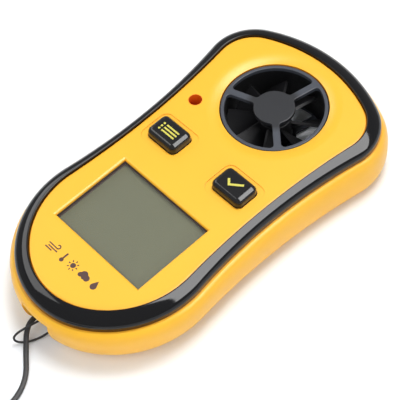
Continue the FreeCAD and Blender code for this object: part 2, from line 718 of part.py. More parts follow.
def rear_hub(body):
    """Cup in front of the hub for the pickup, with a boss that holds the rear bearing."""
    cup = new_sketch(body, "guard_height / 2")
    circle(cup, "0", "0", "guard_hub")
    circle(cup, "0", "0", "guard_hub - cup_wall")
    pad(body, cup, "guard_height / 2 + rear_cup_height")
    boss = new_sketch(body, "guard_height / 2")
    circle(boss, "0", "0", "boss_radius")
    pad(body, boss, "guard_height / 2 + rear_cup_height")
    seat = new_sketch(body, "guard_height + rear_cup_height - bearing_length")
    circle(seat, "0", "0", "bearing_radius")
    pocket(body, seat, "bearing_length")
    way = new_sketch(body, "guard_height")
    rectangle(way, "guard_hub - cup_wall / 2", "0", "cup_wall * 2", "way_width")
    pocket(body, way, "way_depth")


def impeller():
    """Hub with twisted blades trimmed to a round tip."""
    body = new_body("impeller")
    hub = new_sketch(body)
    circle(hub, "0", "0", "rotor_hub")
    pad(body, hub, "rotor_height")
    round_edges(body, level_at(value("rotor_height")), "rotor_round")
    root = blade_section(body, "rotor_hub - blade_lap", "blade_root_chord", "blade_root_angle")
    tip = blade_section(body, "blade_tip + blade_over", "blade_tip_chord", "blade_tip_angle")
    blade = body.newObject("PartDesign::AdditiveLoft", "blade")
    blade.Profile = root
    blade.Sections = [tip]
    blade.Ruled = True
    doc.recompute()
    pattern = body.newObject("PartDesign::PolarPattern", "blades")
    pattern.Originals = [blade]
    pattern.Axis = (hub, ["N_Axis"])
    pattern.Angle = 360
    bind(pattern, Occurrences="blade_count")
    body.Tip = pattern
    doc.recompute()
    trim = new_sketch(body, "0 - trim_over")
    circle(trim, "0", "0", "blade_tip")
    circle(trim, "0", "0", "blade_tip + trim_over")
    pocket(body, trim, "rotor_height + 2 * trim_over")
    magnet = new_sketch(body)
    circle(magnet, "0", "0", "magnet_outer + part_gap")
    circle(magnet, "0", "0", "magnet_inner - part_gap")
    pocket(body, magnet, "magnet_height + part_gap")
    bore = new_sketch(body)
    circle(bore, "0", "0", "shaft_radius")
    pocket(body, bore, "rotor_height")
    body.Placement = Placement(Vector(0, value("duct_y"), value("rotor_base")), Rotation())
    body.setExpression("Placement.Base.y", formula("duct_y"))
    body.setExpression("Placement.Base.z", formula("rotor_base"))
    return node(body, "impeller")


def blade_section(body, distance, chord, angle):
    """One thin rectangle across a blade, leaning from the axis by its own angle."""
    sketch = new_sketch(body, distance, "YZ_Plane")
    rectangle(sketch, "0", "0", "blade_thick", chord)
    lean = Rotation(Vector(0, 0, 1), value(angle))
    middle = Vector(0, value("rotor_height / 2"), value(distance))
    sketch.AttachmentOffset = Placement(middle, lean)
    sketch.setExpression("AttachmentOffset.Base.y", formula("rotor_height / 2"))
    sketch.setExpression("AttachmentOffset.Base.z", formula(distance))
    doc.recompute()
    return sketch


def rotor_details():
    """Shaft, ring magnet, the two bearings and the pickup with its ribbon."""
    shaft = cylinder("shaft_radius", "shaft_top - shaft_base", "0", "duct_y", "shaft_base")
    node(shaft, "impeller_shaft")
    magnet = tube("magnet_outer", "magnet_inner", "magnet_height", "0", "duct_y", "rotor_base")
    node(magnet, "rotor_magnet")
    rear_seat = "rear_guard_base + guard_height + rear_cup_height - bearing_length"
    front_seat = "face_height - guard_recess - guard_height - front_boss"
    for name, base in (("rear_bearing", rear_seat), ("front_bearing", front_seat)):
        bearing = tube("bearing_radius", "shaft_radius + shaft_gap", "bearing_length", "0",
                       "duct_y", base)
        node(bearing, name)
    level = "rear_guard_base + guard_height"
    sensor = ribbon_part("pickup_length", "boss_radius + pickup_gap + pickup_length / 2",
                         "pickup_height", level, "pickup_width", "1.5 * spoke_step")
    node(sensor, "hall_sensor")
    inner, outer = "boss_radius + pickup_gap", "duct_radius + ribbon_gap + ribbon_thick"
    runs = [ribbon_part(f"{outer} - ({inner})", f"({outer} + {inner}) / 2", "ribbon_thick",
                        level, "ribbon_width"),
            ribbon_part("ribbon_thick", f"{outer} - ribbon_thick / 2", f"board_base - ({level})",
                        level, "ribbon_width"),
            ribbon_part("ribbon_tail", f"{outer} - ribbon_thick + ribbon_tail / 2",
                        "ribbon_thick", "board_base - ribbon_thick", "ribbon_width")]
    node(fuse(*runs), "sensor_ribbon")


def ribbon_part(reach, distance, height, base, width, turn="0 - spoke_step"):
    """A block lying along a spoke, a distance from the duct's axis."""
    solid = doc.addObject("Part::Box", "ribbon")
    bind(solid, Length=reach, Width=width, Height=height)
    angle = value("spoke_angle") + value(turn)
    back = Vector(value(distance) - value(reach) / 2, -value(width) / 2, 0)
    turned = Rotation(Vector(0, 0, 1), angle)
    solid.Placement = Placement(Vector(0, value("duct_y"), value(base))
                                + turned.multVec(back), turned)
    return solid


# ---- display, keys and board ---------------------------------------------------------------

def display():
    top = "face_height - face_wall"
    lens = block("window_width + 2 * lens_margin", "window_length + 2 * lens_margin",
                 "lens_height - part_gap", "0", "window_y", top)
    node(lens, "lcd_lens")
    gasket_base = f"{top} - gasket_height"
    gasket = cut(block("window_width + 2 * gasket_frame", "window_length + 2 * gasket_frame",
                       "gasket_height", "0", "window_y", gasket_base),
                 block("window_width", "window_length", "gasket_height", "0", "window_y",
                       gasket_base))
    node(gasket, "lcd_gasket")
    glass_base = f"{gasket_base} - glass_height"
    node(block("glass_width", "glass_length", "glass_height", "0", "window_y", glass_base),
         "lcd_glass")
    board_top = "board_base + board_height"
    node(block("backlight_width", "backlight_length", f"{glass_base} - ({board_top})", "0",
               "window_y", board_top), "lcd_backlight")
    strips = [block("strip_width", "strip_length", f"{glass_base} - ({board_top})", "0",
                    f"window_y {sign} strip_spread", board_top) for sign in "+-"]
    node(group(*strips), "elastomer_strips")


def key(name, across):
    """Rounded key cap with a flange that keeps it under the face plate."""
    body = new_body(name + "_button")
    base = "face_height - face_wall - key_play - key_flange_height"
    cap = new_sketch(body)
    rectangle(cap, "0", "0", "key_width", "key_length")
    pad(body, cap, f"face_height + key_rise - ({base})")
    corner = value("key_width / 2") * 0.9
    round_edges(body, upright_within(corner, 20), "key_corner")
    rise = value(f"face_height + key_rise - ({base})")
    round_edges(body, level_at(rise), "key_round")
    flange = new_sketch(body)
    rectangle(flange, "0", "0", "key_width + 2 * key_flange", "key_length + 2 * key_flange")
    pad(body, flange, "key_flange_height")
    place(body, across, "key_y", base)
    return node(body, name + "_button")


def switch(name, across):
    """Tact switch body on the board and the plunger that the key rests on."""
    base = "board_base + board_height"
    well = cylinder("plunger_radius + plunger_gap", "switch_height", across, "key_y",
                    f"{base} + switch_bore_base")
    body = cut(block("switch_side", "switch_side", "switch_height", across, "key_y", base), well)
    node(body, name + "_switch")
    foot = f"{base} + switch_bore_base + key_travel + plunger_gap"
    key_base = "face_height - face_wall - key_play - key_flange_height"
    node(cylinder("plunger_radius", f"{key_base} - ({foot})", across, "key_y", foot),
         name + "_plunger")


def circuit_board():
    """Board that fills the case below the duct, with a tongue up each side of it."""
    body = new_body("circuit_board")
    plate = new_sketch(body, "board_base")
    outline(plate, "face", "0 - board_inset")
    pad(body, plate, "board_height")
    ends = new_sketch(body, "board_base")
    rectangle(ends, "0", "board_top_y + board_over / 2", "2 * board_over", "board_over")
    rectangle(ends, "0", "board_bottom_y - board_over / 2", "2 * board_over", "board_over")
    pocket(body, ends, "board_height")
    duct = new_sketch(body, "board_base")
    circle(duct, "0", "duct_y", "board_duct_gap")
    for across, along in BOARD_SCREWS:
        circle(duct, across, along, "small_screw_radius + bore_gap")
    pocket(body, duct, "board_height")
    return node(body, "circuit_board")


def board_parts():
    board_top = "board_base + board_height"
    chip = doc.addObject("Part::Cone", "chip")
    bind(chip, Radius1="chip_radius", Radius2="chip_radius * 0.7", Height="chip_height")
    node(place(chip, "chip_x", "chip_y", board_top), "controller_chip")
    crystal = doc.addObject("Part::Cylinder", "crystal")
    bind(crystal, Radius="crystal_radius", Height="crystal_length")
    crystal.Placement.Rotation = Rotation(Vector(0, 1, 0), 90)
    node(place(crystal, "0 - crystal_length / 2", "crystal_y", f"{board_top} + crystal_radius"),
         "timing_crystal")
    screws = []
    for across, along in BOARD_SCREWS:
        head = cylinder("small_screw_head", "small_head_height", across, along,
                        "board_base - small_head_height")
        shank = cylinder("small_screw_radius", "small_screw_tip - board_base", across, along,
                         "board_base")
        screws.append(fuse(head, shank))
    node(group(*screws), "board_screws")
    bead = doc.addObject("Part::Ellipsoid", "bead")
    bind(bead, Radius1="bead_half", Radius2="bead_radius", Radius3="bead_radius")
    place(bead, "probe_x", "probe_y", "probe_base + bead_half + bead_radius")
    leads = [cylinder("lead_radius", f"probe_base + bead_half * 1.5 - ({board_top})",
                      f"probe_x {sign} lead_spread", "probe_y", board_top) for sign in "+-"]
    node(fuse(bead, *leads), "thermistor")


# ---- battery -------------------------------------------------------------------------------

def battery():
    """Coin cell, its holder under the board and the two contacts."""
    cell = new_body("coin_cell")
    can = new_sketch(cell, "cell_base")
    circle(can, "0", "cell_y", "cell_radius")
    pad(cell, can, "cell_height - cell_step")
    top = new_sketch(cell, "cell_base")
    circle(top, "0", "cell_y", "cell_radius - cell_rim")
    pad(cell, top, "cell_height")
    node(cell, "coin_cell")
    ring = tube("holder_radius", "cell_radius + holder_gap + contact_thick",
                "board_base - holder_base", "0", "cell_y", "holder_base")
    node(ring, "battery_holder")
    top_gap = "board_base - cell_base - cell_height"
    leaf = fuse(block("contact_width", "2 * leaf_reach", "contact_thick", "0", "cell_y",
                      "cell_base + cell_height"),
                block("contact_width", "contact_thick", top_gap, "0", "cell_y + leaf_reach",
                      "cell_base + cell_height"),
                block("contact_width", "contact_thick", top_gap, "0", "cell_y - leaf_reach",
                      "cell_base + cell_height"))
    node(leaf, "negative_contact")
    side = block("contact_thick", "contact_width", "board_base - cell_base - contact_lift",
                 "cell_radius + contact_thick / 2 + contact_gap", "cell_y",
                 "cell_base + contact_lift")
    node(side, "positive_contact")


def battery_door():
    """Coin-turned bayonet door: flange, plug, three lugs and a slot."""
    flange = cylinder("door_radius", "door_flange", "0", "cell_y")
    plug = cylinder("door_plug", "door_plug_top", "0", "cell_y")
    lugs = [sector("door_plug + door_lug_reach", "door_lug_height", "door_lug_arc", turn,
                   "door_lug_base") for turn in THIRDS]
    slot = block("coin_slot_length", "coin_slot_width", "coin_slot_depth", "0", "cell_y")
    return node(cut(fuse(flange, plug, *lugs), slot), "battery_door")


# ---- lanyard -------------------------------------------------------------------------------

def lanyard_pin():
    pin = doc.addObject("Part::Cylinder", "pin")
    bind(pin, Radius="pin_radius", Height="notch_width + notch_wall")
    pin.Placement.Rotation = Rotation(Vector(0, 1, 0), 90)
    place(pin, "0 - (notch_width + notch_wall) / 2", "pin_y", "pin_height")
    node(pin, "lanyard_pin")
    eye = doc.addObject("Part::Torus", "eye")
    bind(eye, Radius1="pin_radius + cord_radius + part_gap", Radius2="cord_radius")
    eye.Placement.Rotation = Rotation(Vector(0, 1, 0), 90)
    node(place(eye, "eye_x", "pin_y", "pin_height"), "lanyard_eye")
    knot = doc.addObject("Part::Sphere", "knot")
    bind(knot, Radius="knot_radius")
    node(place(knot, "knot_x", "knot_y", "knot_height"), "lanyard_knot")


def rounded_path(route):
    """Straight runs joined by tangent arcs as large as their runs allow."""
    points = [Vector(*point) for point in route]
    edges, start, radii = [], points[0], []
    for before, corner, after in zip(points, points[1:], points[2:]):
        inward, outward = (before - corner), (after - corner)
        turn = math.pi - inward.getAngle(outward)
        back = 0.45 * min(inward.Length, outward.Length)
        radii.append(back / math.tan(turn / 2))
        first = corner + inward.normalize() * back
        last = corner + outward.normalize() * back
        bisector = (inward + outward).normalize()
        centre_distance = math.hypot(back, radii[-1])
        middle = corner + bisector * (centre_distance - radii[-1])
        edges += [Part.LineSegment(start, first).toShape(),
                  Part.Arc(first, middle, last).toShape()]
        start = last
    edges.append(Part.LineSegment(start, points[-1]).toShape())
    return Part.Wire(edges), radii


def cord(name, route, radius_name):
    """A round tube along a rounded path; its radii and its volume are printed."""
    path, radii = rounded_path(route)
    radius = value(radius_name)
    start = path.OrderedEdges[0]
    section = Part.Wire([Part.Circle(start.valueAt(start.FirstParameter),
                                     start.tangentAt(start.FirstParameter), radius).toShape()])
    shape = path.makePipeShell([section], True, True)
    print(name, "radii in diameters", [round(bend / radius / 2, 1) for bend in radii],
          "length", round(path.Length, 1),
          "volume ratio", round(shape.Volume / (math.pi * radius ** 2 * path.Length), 4))
    feature = doc.addObject("Part::Feature", name + "_tube")
    feature.Shape = shape
    return node(feature, name)


def coil():
    """The space that the wound cord takes up, and the ferrule lying on it."""
    ring = tube("coil_mid + coil_half", "coil_mid - coil_half", "coil_height", "coil_x", "coil_y")
    node(ring, "lanyard_coil")
    ferrule = doc.addObject("Part::Cylinder", "ferrule")
    bind(ferrule, Radius="ferrule_radius", Height="ferrule_length")
    ferrule.Placement.Rotation = Rotation(Vector(0, 1, 0), 90)
    node(place(ferrule, "coil_x - ferrule_length / 2", "coil_y + coil_mid",
               "coil_height + ferrule_radius"), "lanyard_ferrule")


def export():
    """Check the whole document, then write one file for each sub-part."""
    doc.recompute()
    for thing in doc.Objects:
        if {"Invalid", "Error"} & set(thing.State):
            raise RuntimeError(f"{thing.Name} failed: {thing.State}")
    for thing in nodes:
        if thing.Shape.isNull() or not thing.Shape.isValid():
            raise RuntimeError(f"{thing.Label} has no valid shape")
    os.makedirs("parts", exist_ok=True)
    for thing in nodes:
        thing.Shape.exportStep(f"parts/{thing.Label}.step")
        print(thing.Label, len(thing.Shape.Solids), round(thing.Shape.Volume, 1))


rear_cover()
front_cover()
trim_ring()
case_screws()
duct_housing()
guard("front_guard", "face_height - guard_recess - guard_height", front_hub, "spoke_angle",
      "guard_height")
guard("rear_guard", "rear_guard_base", rear_hub, "spoke_angle - spoke_step", "0")
impeller()
rotor_details()
display()
for key_name, key_place in KEYS.items():
    key(key_name, key_place)
    switch(key_name, key_place)
circuit_board()
board_parts()
battery()
battery_door()
lanyard_pin()
cord("lanyard_cord", CORD_ROUTE, "cord_radius")
cord("lanyard_loop", LOOP_ROUTE, "loop_radius")
coil()
export()
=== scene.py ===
"""Looks of the handheld weather meter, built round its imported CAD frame. Metres throughout."""
import json
import math

import bmesh
import bpy
from mathutils import Matrix, Vector


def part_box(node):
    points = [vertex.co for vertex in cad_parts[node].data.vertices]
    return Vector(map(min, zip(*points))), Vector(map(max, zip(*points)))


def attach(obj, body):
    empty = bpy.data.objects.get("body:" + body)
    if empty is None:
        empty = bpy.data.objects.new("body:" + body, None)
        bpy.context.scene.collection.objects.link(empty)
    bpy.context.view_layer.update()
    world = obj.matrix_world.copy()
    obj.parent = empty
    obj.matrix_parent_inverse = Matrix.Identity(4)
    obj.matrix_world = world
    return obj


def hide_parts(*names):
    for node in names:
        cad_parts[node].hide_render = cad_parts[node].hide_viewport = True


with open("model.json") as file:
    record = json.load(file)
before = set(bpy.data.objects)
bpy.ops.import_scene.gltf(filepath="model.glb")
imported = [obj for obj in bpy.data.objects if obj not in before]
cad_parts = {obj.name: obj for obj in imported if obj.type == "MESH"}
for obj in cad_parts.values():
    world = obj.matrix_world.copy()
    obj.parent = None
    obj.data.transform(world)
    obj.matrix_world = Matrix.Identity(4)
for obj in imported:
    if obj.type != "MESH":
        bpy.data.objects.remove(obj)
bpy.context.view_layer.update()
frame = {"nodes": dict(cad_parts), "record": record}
nodes = frame["nodes"]

MM = 0.001
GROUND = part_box("rear_cover")[0].z
FACE_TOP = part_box("front_cover")[1].z
INK = 0.02 * MM             # height of a printed mark above its surface


# ---- camera, floor and light -----------------------------------------------------------------

VIEW_TURN, VIEW_RISE, VIEW_ROLL = 53.27, 55.70, 7.98    # degrees, about the object's own axes
VIEW_DISTANCE = 0.32265
VIEW_TARGET = Vector((7.86 * MM, -4.85 * MM, FACE_TOP))
VIEW_LENS = 114.64
SURROUND_GLOW = 0.44
FLOOR_REACH = 3             # from the middle to each side, in metres


def add_camera():
    """Camera above the lanyard end, on the reader's right, rolled about its own line of sight."""
    turn, rise = math.radians(VIEW_TURN), math.radians(VIEW_RISE)
    back = Vector((math.sin(turn) * math.cos(rise), -math.cos(turn) * math.cos(rise),
                   math.sin(rise)))
    level = (-back).cross(Vector((0, 0, 1))).normalized()
    down = (-back).cross(level)
    roll = math.radians(VIEW_ROLL)
    right = math.cos(roll) * level + math.sin(roll) * down
    drop = -math.sin(roll) * level + math.cos(roll) * down
    data = bpy.data.cameras.new("camera")
    data.sensor_width = 36
    data.lens = VIEW_LENS
    data.clip_start = 0.01
    camera = bpy.data.objects.new("camera", data)
    turned = Matrix((right, -drop, back)).transposed().to_4x4()
    camera.matrix_world = Matrix.Translation(VIEW_TARGET + back * VIEW_DISTANCE) @ turned
    bpy.context.scene.collection.objects.link(camera)
    bpy.context.scene.camera = camera


def add_panel(name, direction, distance, size, glow, along=(0, 0, 1), mirrored=False):
    """A soft box facing the meter, given its direction, size in metres and brightness.

    Its second side runs along the given vector, and it either lights the meter or shows in
    its glossy parts.
    """
    data = bpy.data.lights.new(name, "AREA")
    data.shape = "RECTANGLE"
    data.size, data.size_y = size
    data.energy = glow * math.pi * size[0] * size[1]
    lamp = bpy.data.objects.new(name, data)
    away = Vector(direction).normalized()
    side = Vector(along).cross(away).normalized()
    turned = Matrix((side, away.cross(side), away)).transposed().to_4x4()
    lamp.matrix_world = Matrix.Translation(away * distance) @ turned
    lamp.visible_glossy, lamp.visible_diffuse = mirrored, not mirrored
    bpy.context.scene.collection.objects.link(lamp)


def add_studio():
    """White sweep of floor, an even pale surround and soft boxes overhead and at both sides."""
    world = bpy.data.worlds.new("studio")
    bpy.context.scene.world = world
    world.use_nodes = True
    back = world.node_tree.nodes["Background"]
    back.inputs["Color"].default_value = (1.0, 1.0, 1.0, 1)
    back.inputs["Strength"].default_value = SURROUND_GLOW
    add_panel("above", (-0.02, 0.26, 0.97), 0.60, (0.24, 0.24), 13.4)
    add_panel("front", (0.10, -0.50, 0.85), 0.34, (0.16, 0.16), 2.6)
    add_panel("side", (0.76, -0.42, 0.50), 0.60, (0.30, 0.30), 2.5)
    add_panel("long_box", (0.42, 0.38, 0.82), 0.60, (0.38, 0.84), 10.5, (-1, 0.04, 0.50),
              mirrored=True)
    add_panel("left_box", (-0.71, -0.08, 0.70), 0.60, (0.24, 0.54), 4.0, (0.15, -0.35, 0.25),
              mirrored=True)
    mesh = bpy.data.meshes.new("floor")
    corners = [(across * FLOOR_REACH, along * FLOOR_REACH, GROUND)
               for across, along in ((-1, -1), (1, -1), (1, 1), (-1, 1))]
    mesh.from_pydata(corners, [], [(0, 1, 2, 3)])
    floor = bpy.data.objects.new("floor", mesh)
    bpy.context.scene.collection.objects.link(floor)
    paint = plain("floor_paint", (0.90, 0.93, 0.96), 0.9)
    dull(paint, 0)
    floor.data.materials.append(paint)


# ---- materials -------------------------------------------------------------------------------

def new_material(name):
    """A material with its nodes and links."""
    material = bpy.data.materials.new(name)
    material.use_nodes = True
    return material, material.node_tree.nodes, material.node_tree.links


def plain(name, colour, roughness, metallic=0.0):
    """One even colour."""
    material, tree, _ = new_material(name)
    shader = tree["Principled BSDF"]
    shader.inputs["Base Color"].default_value = (*colour, 1)
    shader.inputs["Roughness"].default_value = roughness
    shader.inputs["Metallic"].default_value = metallic
    return material


def noise(tree, links, scale, detail=3.0):
    """Noise in the object's own coordinates, with features of about 1/scale metres."""
    place = tree.new("ShaderNodeTexCoord")
    texture = tree.new("ShaderNodeTexNoise")
    texture.inputs["Scale"].default_value = scale
    texture.inputs["Detail"].default_value = detail
    links.new(place.outputs["Object"], texture.inputs["Vector"])
    return texture.outputs["Fac"]


def spread(tree, links, factor, low, high):
    """Map a noise's middle range onto two values."""
    ranged = tree.new("ShaderNodeMapRange")
    ranged.inputs["From Min"].default_value = 0.3
    ranged.inputs["From Max"].default_value = 0.7
    ranged.inputs["To Min"].default_value = low
    ranged.inputs["To Max"].default_value = high
    links.new(factor, ranged.inputs["Value"])
    return ranged.outputs["Result"]


def blend_colours(tree, links, factor, first, second):
    """Two colours mixed by a factor."""
    mix = tree.new("ShaderNodeMix")
    mix.data_type = "RGBA"
    mix.inputs["A"].default_value = (*first, 1)
    mix.inputs["B"].default_value = (*second, 1)
    links.new(factor, mix.inputs["Factor"])
    return mix.outputs["Result"]


def textured(name, colours, roughness, grain, bump, metallic=0.0, drift=60.0, stretch=None):
    """Colour drifting between two shades, uneven roughness and a fine moulded or cast grain."""
    material, tree, links = new_material(name)
    shader = tree["Principled BSDF"]
    shader.inputs["Metallic"].default_value = metallic
    slow = noise(tree, links, drift)
    links.new(blend_colours(tree, links, slow, *colours), shader.inputs["Base Color"])
    fine = noise(tree, links, grain, 4.0)
    if stretch:
        mapping = tree.new("ShaderNodeMapping")
        mapping.inputs["Scale"].default_value = stretch
        texture = fine.node
        links.new(texture.inputs["Vector"].links[0].from_socket, mapping.inputs["Vector"])
        links.new(mapping.outputs["Vector"], texture.inputs["Vector"])
    links.new(spread(tree, links, fine, *roughness), shader.inputs["Roughness"])
    relief = tree.new("ShaderNodeBump")
    relief.inputs["Strength"].default_value = 0.6
    relief.inputs["Distance"].default_value = bump
    links.new(fine, relief.inputs["Height"])
    links.new(relief.outputs["Normal"], shader.inputs["Normal"])
    return material


def dull(material, level):
    """Weaken a material's mirror reflection; 0.5 is ordinary plastic."""
    material.node_tree.nodes["Principled BSDF"].inputs["Specular IOR Level"].default_value = level


def tint(material, colour, value, first, last):
    """Mix a colour in, fully where a value is at its first limit and not at all at its last."""
    tree, links = material.node_tree.nodes, material.node_tree.links
    shader = tree["Principled BSDF"]
    ranged = tree.new("ShaderNodeMapRange")
    ranged.inputs["From Min"].default_value = first
    ranged.inputs["From Max"].default_value = last
    links.new(value, ranged.inputs["Value"])
    mix = tree.new("ShaderNodeMix")
    mix.data_type = "RGBA"
    mix.inputs["A"].default_value = (*colour, 1)
    links.new(shader.inputs["Base Color"].links[0].from_socket, mix.inputs["B"])
    links.new(ranged.outputs["Result"], mix.inputs["Factor"])
    links.new(mix.outputs["Result"], shader.inputs["Base Color"])


def paint_crevice_shade(material, colour, reach):
    """Paint shade into a colour where surfaces close in on each other: a deeper tint in crevices,
    standing in for light bounced between the walls.
    """
    openness = material.node_tree.nodes.new("ShaderNodeAmbientOcclusion")
    openness.samples = 12
    openness.inputs["Distance"].default_value = reach
    tint(material, colour, openness.outputs["AO"], 0.25, 0.85)


def tint_round(material, colour, centre, first, last):
    """Tint by the distance from an upright axis, in metres."""
    tree, links = material.node_tree.nodes, material.node_tree.links
    place, flat = tree.new("ShaderNodeNewGeometry"), tree.new("ShaderNodeVectorMath")
    flat.operation = "MULTIPLY"
    flat.inputs[1].default_value = (1, 1, 0)
    links.new(place.outputs["Position"], flat.inputs[0])
    away = tree.new("ShaderNodeVectorMath")
    away.operation = "DISTANCE"
    away.inputs[1].default_value = (centre.x, centre.y, 0)
    links.new(flat.outputs["Vector"], away.inputs[0])
    tint(material, colour, away.outputs["Value"], first, last)


def make_materials():
    """Every material, by the name of its slot."""
    yellow = textured("yellow_abs", ((0.93, 0.490, 0.030), (0.91, 0.470, 0.027)), (0.30, 0.38),
                      2600, 0.000012)
    dull(yellow, 0.38)
    # Painted shade: a deeper orange-red mixed into the yellow in creases and corners, for the
    # reddened shade where light bounces between yellow walls.
    paint_crevice_shade(yellow, (0.92, 0.28, 0.010), 0.7 * MM)
    # Painted shade: the yellow tinted deep red within 1.75 to 2 mm of the thermistor's axis, for
    # the shade inside its hole.
    low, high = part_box("thermistor")
    tint_round(yellow, (0.85, 0.07, 0.003), (low + high) / 2, 1.75 * MM, 2.0 * MM)
    trim = textured("trim_black", ((0.004, 0.004, 0.005), (0.006, 0.006, 0.007)), (0.05, 0.09),
                    900, 0.000006)
    dull(trim, 0.3)
    guard = textured("guard_grey", ((0.015, 0.016, 0.019), (0.021, 0.022, 0.026)), (0.38, 0.50),
                     5200, 0.00002)
    dull(guard, 0.25)
    # Painted highlight: the guard turns lighter and bluer beyond 6.5 to 8.5 mm from its middle,
    # for light falling on its spokes and rim; the hub keeps the darker shade.
    low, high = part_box("front_guard")
    tint_round(guard, (0.055, 0.061, 0.076), (low + high) / 2, 8.5 * MM, 6.5 * MM)
    rotor = textured("rotor_black", ((0.004, 0.004, 0.005), (0.007, 0.007, 0.008)), (0.45, 0.6),
                     3000, 0.000012)
    dull(rotor, 0.2)
    steel = textured("bright_steel", ((0.62, 0.62, 0.64), (0.70, 0.70, 0.72)), (0.22, 0.36),
                     4000, 0.000008, metallic=1.0)
    brass = textured("bearing_brass", ((0.70, 0.50, 0.20), (0.78, 0.58, 0.26)), (0.25, 0.4),
                     4000, 0.000008, metallic=1.0)
    ferrite = textured("ferrite", ((0.05, 0.05, 0.055), (0.08, 0.08, 0.085)), (0.5, 0.7),
                       4000, 0.00002, metallic=0.6)
    epoxy = textured("chip_epoxy", ((0.015, 0.015, 0.016), (0.025, 0.025, 0.026)), (0.45, 0.6),
                     6000, 0.000015)
    ribbon = textured("ribbon_film", ((0.45, 0.16, 0.02), (0.52, 0.20, 0.03)), (0.2, 0.35),
                      2000, 0.000008)
    board = textured("board_green", ((0.010, 0.11, 0.03), (0.014, 0.14, 0.04)), (0.25, 0.4),
                     2500, 0.00002)
    # Painted shade and reflection: the foam gasket is coloured reddish brown, for the reddened
    # shade on the window's inner wall and the yellow wall's reflection in the lens.
    foam = textured("foam_black", ((0.075, 0.030, 0.020), (0.095, 0.040, 0.027)), (0.7, 0.9),
                    7000, 0.00004)
    diffuser = textured("diffuser_white", ((0.80, 0.80, 0.77), (0.86, 0.86, 0.83)), (0.4, 0.55),
                        4000, 0.000012)
    key = textured("key_black", ((0.008, 0.008, 0.009), (0.012, 0.012, 0.013)), (0.10, 0.18),
                   1500, 0.000006)
    dull(key, 0.38)
    cell = textured("cell_steel", ((0.66, 0.66, 0.67), (0.74, 0.74, 0.75)), (0.2, 0.34),
                    3000, 0.000008, metallic=1.0)
    holder = textured("holder_black", ((0.02, 0.02, 0.02), (0.03, 0.03, 0.03)), (0.5, 0.65),
                      5000, 0.00002)
    lcd = textured("lcd_grey", ((0.119, 0.123, 0.066), (0.112, 0.116, 0.062)), (0.40, 0.50),
                   3000, 0.000004, drift=90)
    dull(lcd, 0.2)
    lens = plain("clear_lens", (0.75, 0.78, 0.80), 0.04)
    lens.node_tree.nodes["Principled BSDF"].inputs["Alpha"].default_value = 0.03
    cord = textured("cord_black", ((0.010, 0.010, 0.011), (0.026, 0.026, 0.028)), (0.50, 0.70),
                    4200, 0.00012, drift=1500)
    return {"yellow_abs": yellow, "trim_black": trim, "guard_grey": guard, "rotor_black": rotor,
            "bright_steel": steel, "bearing_brass": brass, "ferrite": ferrite,
            "chip_epoxy": epoxy, "ribbon_film": ribbon, "board_green": board, "foam_black": foam,
            "diffuser_white": diffuser, "key_black": key, "cell_steel": cell,
            "holder_black": holder, "lcd_grey": lcd, "clear_lens": lens, "cord_black": cord,
            "ferrule_steel": steel}


def dress_nodes():
    """Give every CAD node its slot's material."""
    slots = {part["node"]: part["material_slot"] for part in frame["record"]["subparts"]}
    for name, thing in nodes.items():
        thing.data.materials.clear()
        thing.data.materials.append(materials[slots[name]])


# ---- trim bead -------------------------------------------------------------------------------

WIDEST_BEAD = 8             # millimetres

# Radii and centres of the two outlines in millimetres, from the head's end arc to the lanyard's.
CASE_OUTLINE = {"top": 53, "top_arc": 44, "corner_arc": 13.6, "corner_x": 14.2,
                "waist_arc": 160, "bulb_arc": 28, "bulb_x": -2, "bottom_arc": 24.2,
                "bottom": -53}
FACE_OUTLINE = {"top": 48.9, "top_arc": 42.3, "corner_arc": 10.45, "corner_x": 13.84,
                "waist_arc": 229.95, "bulb_arc": 25.05, "bulb_x": -2.4, "bottom_arc": 20.85,
                "bottom": -48.9}


def outline_arcs(sizes):
    """Centre, radius and both ends of the right side's five arcs, in millimetres."""
    top = Vector((0, sizes["top"] - sizes["top_arc"]))
    bottom = Vector((0, sizes["bottom"] + sizes["bottom_arc"]))
    inside = sizes["top_arc"] - sizes["corner_arc"]
    corner = Vector((sizes["corner_x"], top.y + math.sqrt(inside ** 2 - sizes["corner_x"] ** 2)))
    inside = sizes["bulb_arc"] - sizes["bottom_arc"]
    bulb = Vector((sizes["bulb_x"], bottom.y + math.sqrt(inside ** 2 - sizes["bulb_x"] ** 2)))
    between = corner - bulb
    far, near = sizes["waist_arc"] + sizes["bulb_arc"], sizes["waist_arc"] + sizes["corner_arc"]
    along = (far ** 2 - near ** 2 + between.length_squared) / (2 * between.length)
    aside = Vector((between.y, -between.x)).normalized() * math.sqrt(far ** 2 - along ** 2)
    waist = bulb + between.normalized() * along + aside
    centres = (top, corner, waist, bulb, bottom)
    radii = [sizes[name] for name in ("top_arc", "corner_arc", "waist_arc", "bulb_arc",
                                      "bottom_arc")]
    joints = [top + (corner - top).normalized() * radii[0],
              corner + (waist - corner).normalized() * radii[1],
              bulb + (waist - bulb).normalized() * radii[3],
              bottom + (bulb - bottom).normalized() * -radii[4]]
    ends = [Vector((0, sizes["top"]))] + joints + [Vector((0, sizes["bottom"]))]
    return [(centre, radius, ends[i], ends[i + 1])
            for i, (centre, radius) in enumerate(zip(centres, radii))]


def outline_stations(sizes, spacing):
    """Points and outward directions all the way round an outline."""
    right = []
    for index, (centre, radius, start, end) in enumerate(outline_arcs(sizes)):
        first, last = ((point - centre).normalized() for point in (start, end))
        swing = first.angle_signed(last)
        count = max(2, round(abs(swing) * radius / spacing))
        for step in range(count):
            way = first.copy()
            way.rotate(Matrix.Rotation(-swing * step / count, 2))
            right.append((centre + way * radius, -way if index == 2 else way))
    right.append((Vector((0, sizes["bottom"])), Vector((0, -1))))
    left = [(Vector((-point.x, point.y)), Vector((-way.x, way.y)))
            for point, way in right[-2:0:-1]]
    return right + left


